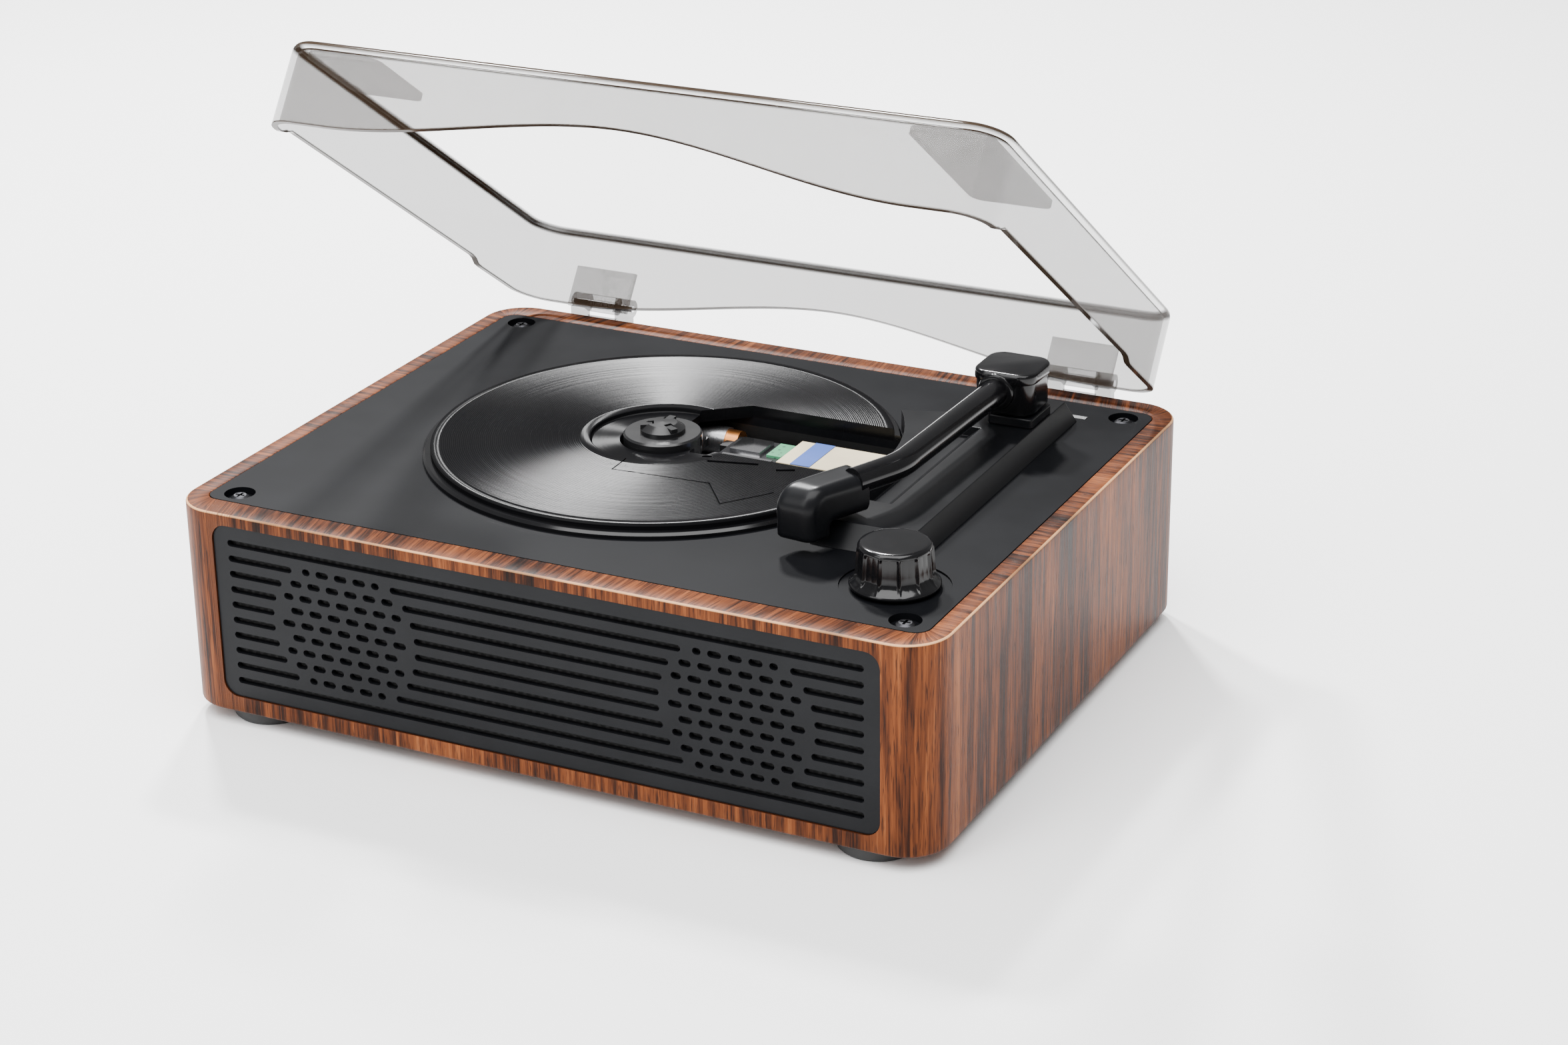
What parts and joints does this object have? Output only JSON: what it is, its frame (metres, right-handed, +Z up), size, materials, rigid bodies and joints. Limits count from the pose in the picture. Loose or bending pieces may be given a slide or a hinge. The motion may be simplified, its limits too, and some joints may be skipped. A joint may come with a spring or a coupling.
{
  "type": "turntable record player",
  "caption": "Wooden-cased table-top disc player styled as a record player, with a hinged smoked lid, swinging arm, volume knob and slotted front speaker grille.",
  "frame": {"origin": "centre of the bounding box's bottom face, on the table under the rubber feet", "axes": "+Z up from the table; +X to the right of a person facing the grille, along the longest side; +Y from the grille to the hinged back. The lid stands open 35 degrees at rest."},
  "size_m": [0.264, 0.2246, 0.2098],
  "materials": {
    "walnut_veneer": "satin",
    "pale_wood": "rough",
    "fibreboard": "matte",
    "black_satin": "satin",
    "record_black": "satin, grooved",
    "gloss_black": "gloss",
    "hub_black": "satin",
    "rubber_black": "matte",
    "grille_black": "satin",
    "black_cloth": "matte",
    "smoked_clear": "polished, see-through",
    "clear_plastic": "polished, see-through",
    "steel": "satin",
    "silver_window": "satin",
    "well_black": "matte",
    "chassis_steel": "satin",
    "copper": "satin",
    "sled_black": "satin",
    "pickup_metal": "polished",
    "board_green": "satin",
    "lens_glass": "polished",
    "cable_film": "satin",
    "stiffener_blue": "satin",
    "connector_white": "satin",
    "bush_brass": "satin",
    "pot_zinc": "satin",
    "speaker_steel": "satin",
    "speaker_paper": "matte",
    "ferrite": "matte",
    "component_black": "satin",
    "socket_black": "satin"
  },
  "bodies": {
    "cabinet": {"amplifier_heatsink": "pot_zinc", "arm_pedestal": "gloss_black", "arm_platform": "gloss_black", "audio_socket": "socket_black", "board_components": "component_black", "board_screws": "steel", "bottom_board": "fibreboard", "cabinet_shell": "walnut_veneer", "cable_connector": "connector_white", "cable_stiffener": "stiffener_blue", "corner_blocks": "pale_wood", "cover_ring": "gloss_black", "damper_grommets": "rubber_black", "deck_plate": "black_satin", "deck_screws": "steel", "disc_cover": "record_black", "feed_motor": "steel", "feed_motor_winding": "copper", "flex_cable": "cable_film", "foot_screws": "steel", "front_grille": "grille_black", "grille_cloth": "black_cloth", "guide_rods": "steel", "hinge_leaves": "clear_plastic", "hinge_pins": "steel", "hinge_screws": "steel", "main_board": "board_green", "mechanism_chassis": "chassis_steel", "mechanism_well": "well_black", "pivot_bush": "bush_brass", "power_inlet": "socket_black", "rear_panel": "black_satin", "rubber_feet": "rubber_black", "speaker_baskets": "speaker_steel", "speaker_cones": "speaker_paper", "speaker_magnets": "ferrite", "spindle_motor": "steel", "status_window": "silver_window", "volume_potentiometer": "pot_zinc"},
    "lid": {"lid_cover": "smoked_clear", "lid_pads": "rubber_black", "lid_brackets": "clear_plastic"},
    "arm": {"pivot_block": "gloss_black", "pivot_shaft": "steel", "shaft_clip": "steel", "arm_tube": "gloss_black", "arm_head": "gloss_black"},
    "knob": {"volume_knob": "gloss_black", "volume_shaft": "steel"},
    "spindle": {"spindle_hub": "hub_black"},
    "jaw_1": {"clamp_jaw_1": "hub_black"},
    "jaw_2": {"clamp_jaw_2": "hub_black"},
    "jaw_3": {"clamp_jaw_3": "hub_black"},
    "sled": {"pickup_sled": "sled_black", "actuator_frame": "pickup_metal", "laser_housing": "pickup_metal", "sled_board": "board_green"},
    "lens": {"lens_holder": "sled_black", "objective_lens": "lens_glass"},
    "feed_screw": {"feed_screw": "steel"}
  },
  "joints": [
    {"name": "lid_hinge", "type": "hinge", "parent": "cabinet", "child": "lid", "pos_m": [0, 0.10216, 0.0776], "axis": [-1, 0, 0], "range_deg": [-35, 25]},
    {"name": "arm_swing", "type": "hinge", "parent": "cabinet", "child": "arm", "pos_m": [0.0886, 0.05066, 0.074], "axis": [0, 0, -1], "range_deg": [0, 30]},
    {"name": "volume_turn", "type": "hinge", "parent": "cabinet", "child": "knob", "pos_m": [0.103, -0.07384, 0.074], "axis": [0, 0, 1], "range_deg": [-150, 150]},
    {"name": "spindle_spin", "type": "hinge", "parent": "cabinet", "child": "spindle", "pos_m": [-0.0125, -0.00334, 0.074], "axis": [0, 0, 1], "continuous": true},
    {"name": "sled_slide", "type": "slide", "parent": "cabinet", "child": "sled", "axis": [1, 0, 0], "range_m": [0, 0.034]},
    {"name": "feed_screw_turn", "type": "hinge", "parent": "cabinet", "child": "feed_screw", "pos_m": [0.03, 0.02576, 0.0664], "axis": [1, 0, 0], "range_deg": [0, 3061]},
    {"name": "lens_focus", "type": "slide", "parent": "sled", "child": "lens", "axis": [0, 0, 1], "range_m": [-0.0004, 0.0004], "stiffness_N_per_m": 25},
    {"name": "jaw_1_press", "type": "slide", "parent": "spindle", "child": "jaw_1", "axis": [0, 1, 0], "range_m": [-0.0004, 0], "stiffness_N_per_m": 20},
    {"name": "jaw_2_press", "type": "slide", "parent": "spindle", "child": "jaw_2", "axis": [-0.866, -0.5, 0], "range_m": [-0.0004, 0], "stiffness_N_per_m": 20},
    {"name": "jaw_3_press", "type": "slide", "parent": "spindle", "child": "jaw_3", "axis": [0.866, -0.5, 0], "range_m": [-0.0004, 0], "stiffness_N_per_m": 20}
  ],
  "couplings": [
    {"joint": "feed_screw_turn", "follows": "sled_slide", "rad_per_m": 1570.8}
  ]
}
